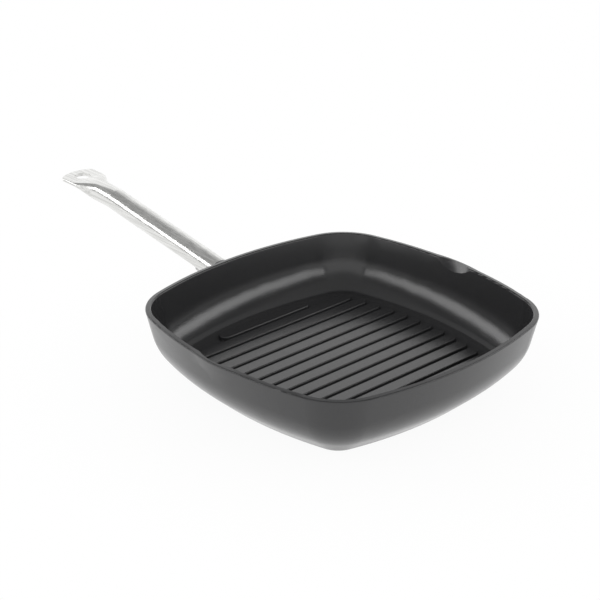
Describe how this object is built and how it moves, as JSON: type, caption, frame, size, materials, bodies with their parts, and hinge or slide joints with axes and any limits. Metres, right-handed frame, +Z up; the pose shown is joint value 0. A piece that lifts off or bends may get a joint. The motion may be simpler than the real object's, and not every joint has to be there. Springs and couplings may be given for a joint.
{
  "type": "grill pan",
  "caption": "Square cast grill pan with raised ribs, two pour lips and a flattened tubular steel handle with a hanging hole.",
  "frame": {"origin": "centre of the flat base, on the surface the pan stands on", "axes": "+Z up, handle along -X, pour lips in the middle of the +Y and -Y sides"},
  "size_m": [0.5088, 0.282, 0.0766],
  "materials": {
    "coated_cast_aluminium": "dark grey non-stick coating, semi-gloss",
    "base_steel": "brushed stainless steel",
    "handle_steel": "satin stainless steel",
    "fastener_steel": "plain stainless steel"
  },
  "bodies": {
    "root": {"pan_body": "coated_cast_aluminium", "base_plate": "base_steel", "handle": "handle_steel", "handle_screws": "fastener_steel", "spring_washers": "fastener_steel"}
  },
  "joints": []
}
